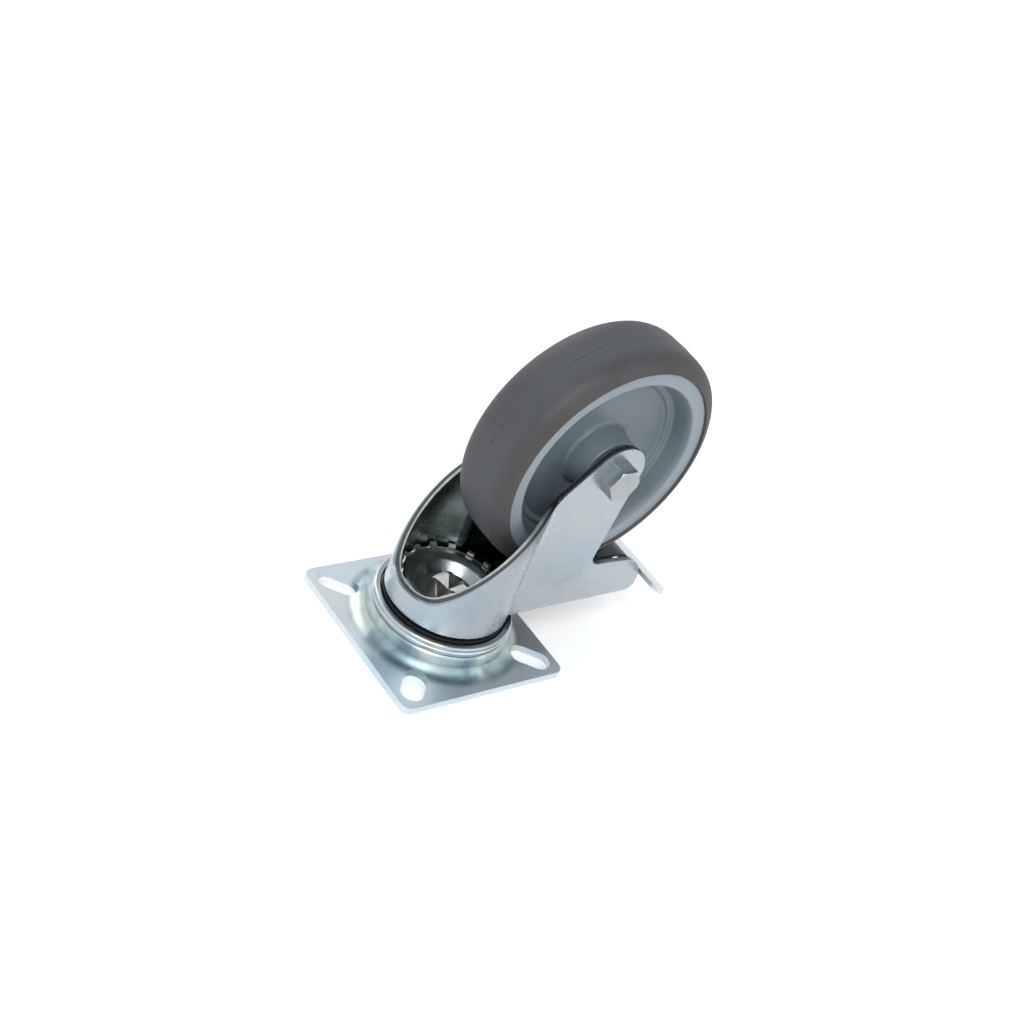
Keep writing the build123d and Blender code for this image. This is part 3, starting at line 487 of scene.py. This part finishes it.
# ---------------------------------------------------------------- plate, fork and brake
def skirt_flare(turns=720, steps=14):
    """The wide concave flare between the dome's wall and the plate, over the pressed skirt.

    Its section is a quarter circle of radius a = FLARE_R - DOME_R, turned about the swivel axis:
    z(r) = PLATE_TOP + a - sqrt(a^2 - (FLARE_R - r)^2).  Each section ends short of FLARE_R, or where its
    ray from the axis meets a slot's round inner end: r = c cos(p) - sqrt(h^2 - c^2 sin(p)^2), with p the
    angle from the slot's middle, c = SLOT_IN_R and h = SLOT_HALF.  The points of a section crowd towards
    the dome, where it is steep: (r - inner) / (outer - inner) = 1 - cos(q), for q in even steps.
    """
    clear = 0.02 * mm                       # from the dome's wall, and short of FLARE_R at the foot
    slot_gap = 0.01 * mm                    # between the flare and a slot
    sunk = 0.3 * mm                         # how far its underside lies in the plate
    quarter = np.pi / 2                     # from one slot to the next
    angle = np.linspace(0, 4 * quarter, turns, endpoint=False)
    p = np.abs((angle - quarter / 2) % quarter)
    p = np.minimum(p, quarter - p)
    inside = SLOT_HALF ** 2 - (SLOT_IN_R * np.sin(p)) ** 2
    slot_r = np.where(inside > 0, SLOT_IN_R * np.cos(p) - np.sqrt(np.maximum(inside, 0.0)), FLARE_R)
    outer = np.minimum(FLARE_R - clear, slot_r - slot_gap)[:, None]
    inner = np.full_like(outer, DOME_R + clear)
    a = FLARE_R - DOME_R
    share = (1 - np.cos(np.linspace(0, quarter, steps)))[None, :]
    r = inner + (outer - inner) * share
    z = PLATE_TOP + a - np.sqrt(np.maximum(a ** 2 - (FLARE_R - r) ** 2, 0.0))
    under = np.full_like(outer, PLATE_TOP - sunk)
    r = np.concatenate([r, outer, inner], axis=1)
    z = np.concatenate([z, under, under], axis=1)
    x, y = r * np.cos(angle)[:, None], r * np.sin(angle)[:, None]
    piece = grid_mesh("skirt_flare", x, y, z, close_u=True, close_v=True)
    facing_out(piece)
    piece.data.set_sharp_from_angle(angle=radians(40))
    return piece


def dressed(node, width, material, body, slot, edge):
    """A copy of a node's surface with its sharp edges broken by `width` mm, which takes the node's place.

    The CAD node is loose triangles, so the copy's doubles are merged and its flat faces joined first.
    `edge` is the finish of the broken edges, or None where it is the same as the rest.
    """
    sharp, flat = radians(30), radians(0.3)
    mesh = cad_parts[node].data.copy()
    work = bmesh.new()
    work.from_mesh(mesh)
    bmesh.ops.remove_doubles(work, verts=work.verts, dist=1e-6)
    bmesh.ops.dissolve_limit(work, angle_limit=flat, verts=work.verts, edges=work.edges)
    work.to_mesh(mesh)
    work.free()
    mesh.polygons.foreach_set("use_smooth", np.ones(len(mesh.polygons), dtype=bool))
    mesh.set_sharp_from_angle(angle=sharp)
    piece = bpy.data.objects.new(node + "_dressed", mesh)
    bpy.context.scene.collection.objects.link(piece)
    bevel = piece.modifiers.new("edge", "BEVEL")
    bevel.width = width * mm
    bevel.segments = 2
    bevel.limit_method = "ANGLE"
    bevel.angle_limit = sharp
    bevel.harden_normals = True
    bevel.use_clamp_overlap = True
    finish_piece(piece, body, material, slot, node)
    if edge is not None:
        mesh.materials.append(edge)
        bevel.material = 1


finish_piece(skirt_flare(), "plate", zinc_plate, "zinc_sheet")
for node, width, material, body, slot, edge in (
    ("fork", 0.35, zinc_fork, "fork", "zinc_fork", zinc_edge),
    ("top_plate", 0.30, zinc_plate, "plate", "zinc_sheet", zinc_edge),
    ("lower_race", 0.12, zinc_race, "plate", "zinc_race", zinc_edge),
    ("kingpin", 0.18, zinc_pin, "plate", "zinc_pin", None),
    ("upper_race", 0.15, zinc_dish, "plate", "zinc_race", None),
    ("tab_ring", 0.12, zinc_tabs_painted_light, "fork", "zinc_race", None),
    ("axle_bolt", 0.22, zinc_bolt, "fork", "zinc_pin", zinc_edge),
    ("axle_nut", 0.22, zinc_bolt, "fork", "zinc_pin", zinc_edge),
    ("brake_lever", 0.25, zinc_pedal_painted_lit, "brake", "zinc_fork", zinc_edge),
    ("brake_shoe", 0.12, spring_steel, "brake", "spring_steel", None),
    ("leaf_spring", 0.08, spring_steel, "fork", "spring_steel", None),
):
    dressed(node, width, material, body, slot, edge)

# The small pieces keep their CAD surfaces and only get their finish.
for node, material in (
    ("lower_balls", ball_steel),
    ("upper_balls", ball_steel),
    ("ball_cage", cage_plastic_painted_shade),
    ("axle_tube", zinc_bolt),
    ("nut_insert", insert_nylon),
    ("pivot_pin", zinc_bolt),
    ("shoe_rivet", zinc_bolt),
):
    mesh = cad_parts[node].data
    mesh.materials.clear()
    mesh.materials.append(material)


# ---------------------------------------------------------------- floor, lights, camera
def stage_floor(half):
    """A square of matt white paper, `half` metres from its middle to each side, under the part."""
    material, tree, shader, _ = blank("white_paper_floor")
    join(tree, shader, {"Base Color": "#FFFFFF", "Roughness": 0.9})
    mesh = bpy.data.meshes.new("floor")
    corners = [(-half, -half, 0), (half, -half, 0), (half, half, 0), (-half, half, 0)]
    mesh.from_pydata(corners, [], [(0, 1, 2, 3)])
    mesh.materials.append(material)
    floor = bpy.data.objects.new("floor", mesh)
    bpy.context.scene.collection.objects.link(floor)


def studio_world():
    """White walls that darken overhead, by the height of the direction, so that metal has dark to mirror."""
    world = bpy.data.worlds.new("studio")
    bpy.context.scene.world = world
    world.use_nodes = True
    tree = world.node_tree
    height = add(tree, "ShaderNodeSeparateXYZ", {"Vector": add(tree, "ShaderNodeTexCoord", {})}, out=2)
    shade = add(tree, "ShaderNodeValToRGB", {"Fac": height},
                stops=((0.0, "#FFFFFF"), (0.62, "#F5F7F8"), (0.80, "#AEB6BA"), (0.96, "#4A5155")))
    join(tree, tree.nodes["Background"], {"Color": shade, "Strength": 1.0})


def softbox(name, place, power):
    """A square softbox, one metre wide, at a place in metres and turned to face the castor's middle."""
    middle = Vector((0.015, 0.0, 0.045))
    lamp = bpy.data.lights.new(name, "AREA")
    lamp.shape = "SQUARE"
    lamp.size = 1.0
    lamp.energy = power
    holder = bpy.data.objects.new(name, lamp)
    holder.location = place
    holder.rotation_euler = (middle - Vector(place)).to_track_quat("-Z", "Y").to_euler()
    bpy.context.scene.collection.objects.link(holder)


def camera_at(azimuth, elevation, roll, distance, target, focal_px, centre_px):
    """A camera `distance` metres from the target, seen from azimuth and elevation and rolled about its axis.

    With back the direction from target to camera, the camera's right and up are the level ones turned by
    the roll k: cos(k) right + sin(k) up and cos(k) up - sin(k) right.  focal_px is the focal length in
    pixels of the frame, and centre_px the pixel that the lens's axis meets.
    """
    frame_px, sensor_mm = 1024.0, 36.0
    a, e, k = radians(azimuth), radians(elevation), radians(roll)
    back = np.array([sin(a) * cos(e), -cos(a) * cos(e), sin(e)])
    right = np.array([cos(a), sin(a), 0.0])
    up = np.cross(back, right)
    pose = np.eye(4)
    pose[:3, 0] = cos(k) * right + sin(k) * up
    pose[:3, 1] = cos(k) * up - sin(k) * right
    pose[:3, 2] = back
    pose[:3, 3] = np.array(target) + distance * back
    lens = bpy.data.cameras.new("camera")
    lens.sensor_fit = "HORIZONTAL"
    lens.sensor_width = sensor_mm
    lens.lens = focal_px * sensor_mm / frame_px
    lens.shift_x = (frame_px / 2 - centre_px[0]) / frame_px
    lens.shift_y = (centre_px[1] - frame_px / 2) / frame_px
    lens.clip_start = 0.01
    holder = bpy.data.objects.new("camera", lens)
    holder.matrix_world = Matrix(pose.tolist())
    bpy.context.scene.collection.objects.link(holder)
    bpy.context.scene.camera = holder


stage_floor(0.95)
studio_world()
softbox("key", (-0.70, -0.70, 1.25), 16.0)
softbox("fill", (0.50, -1.4, 0.75), 4.0)
softbox("back", (0.10, 1.45, 1.05), 12.0)
camera_at(azimuth=-51.27, elevation=35.24, roll=25.08, distance=0.50302, target=(0.01317, -0.00916, 0.03824),
          focal_px=1719.02, centre_px=(525.11, 546.63))
bpy.context.scene.view_settings.view_transform = "Standard"
